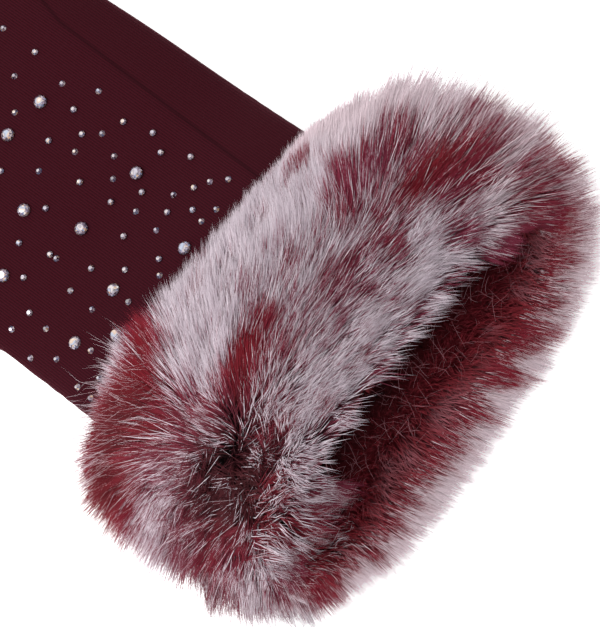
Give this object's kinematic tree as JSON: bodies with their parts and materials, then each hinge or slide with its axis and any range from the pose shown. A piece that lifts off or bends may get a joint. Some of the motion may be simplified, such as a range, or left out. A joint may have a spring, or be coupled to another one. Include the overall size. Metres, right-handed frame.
{
  "type": "fur-lined winter glove",
  "caption": "Right-hand winter glove of burgundy stretch cloth with a deep two-tone fake-fur cuff, fur inside its mouth and cut stones scattered over the back.",
  "frame": {"origin": "a point on the flat underside of the palm, where the glove rests, midway across the hand and a little nearer the wrist than the knuckles", "axes": "+Y toward the fingertips, +Z out of the back of the hand, +X toward the little-finger side"},
  "size_m": [0.1776, 0.2801, 0.0558],
  "materials": {
    "cloth": "fine-ribbed stretch cloth with a soft raised face, dark burgundy",
    "cuff_pile": "long fake-fur pile, burgundy at the roots and lilac-white at the tips",
    "lining_pile": "shorter burgundy fake-fur pile",
    "cut_stone": "clear flat-backed cut glass with a rainbow coating and a foiled back"
  },
  "bodies": {
    "root": {"back_panel": "cloth", "palm_panel": "cloth", "thumb_back": "cloth", "thumb_palm": "cloth", "cuff_fur": "cuff_pile", "fur_lining": "lining_pile", "stone_large_01": "cut_stone", "stone_large_02": "cut_stone", "stone_large_03": "cut_stone", "stone_large_04": "cut_stone", "stone_large_05": "cut_stone", "stone_large_06": "cut_stone", "stone_large_07": "cut_stone", "stone_large_08": "cut_stone", "stone_large_09": "cut_stone", "stone_large_10": "cut_stone", "stone_large_11": "cut_stone", "stone_large_12": "cut_stone", "stone_large_13": "cut_stone", "stone_small_01": "cut_stone", "stone_small_02": "cut_stone", "stone_small_03": "cut_stone", "stone_small_04": "cut_stone", "stone_small_05": "cut_stone", "stone_small_06": "cut_stone", "stone_small_07": "cut_stone", "stone_small_08": "cut_stone", "stone_small_09": "cut_stone", "stone_small_10": "cut_stone", "stone_small_11": "cut_stone", "stone_small_12": "cut_stone", "stone_small_13": "cut_stone", "stone_small_14": "cut_stone", "stone_small_15": "cut_stone", "stone_small_16": "cut_stone", "stone_small_17": "cut_stone", "stone_small_18": "cut_stone", "stone_small_19": "cut_stone", "stone_small_20": "cut_stone", "stone_small_21": "cut_stone", "stone_small_22": "cut_stone", "stone_small_23": "cut_stone", "stone_small_24": "cut_stone", "stone_small_25": "cut_stone", "stone_small_26": "cut_stone", "stone_small_27": "cut_stone"}
  },
  "joints": []
}
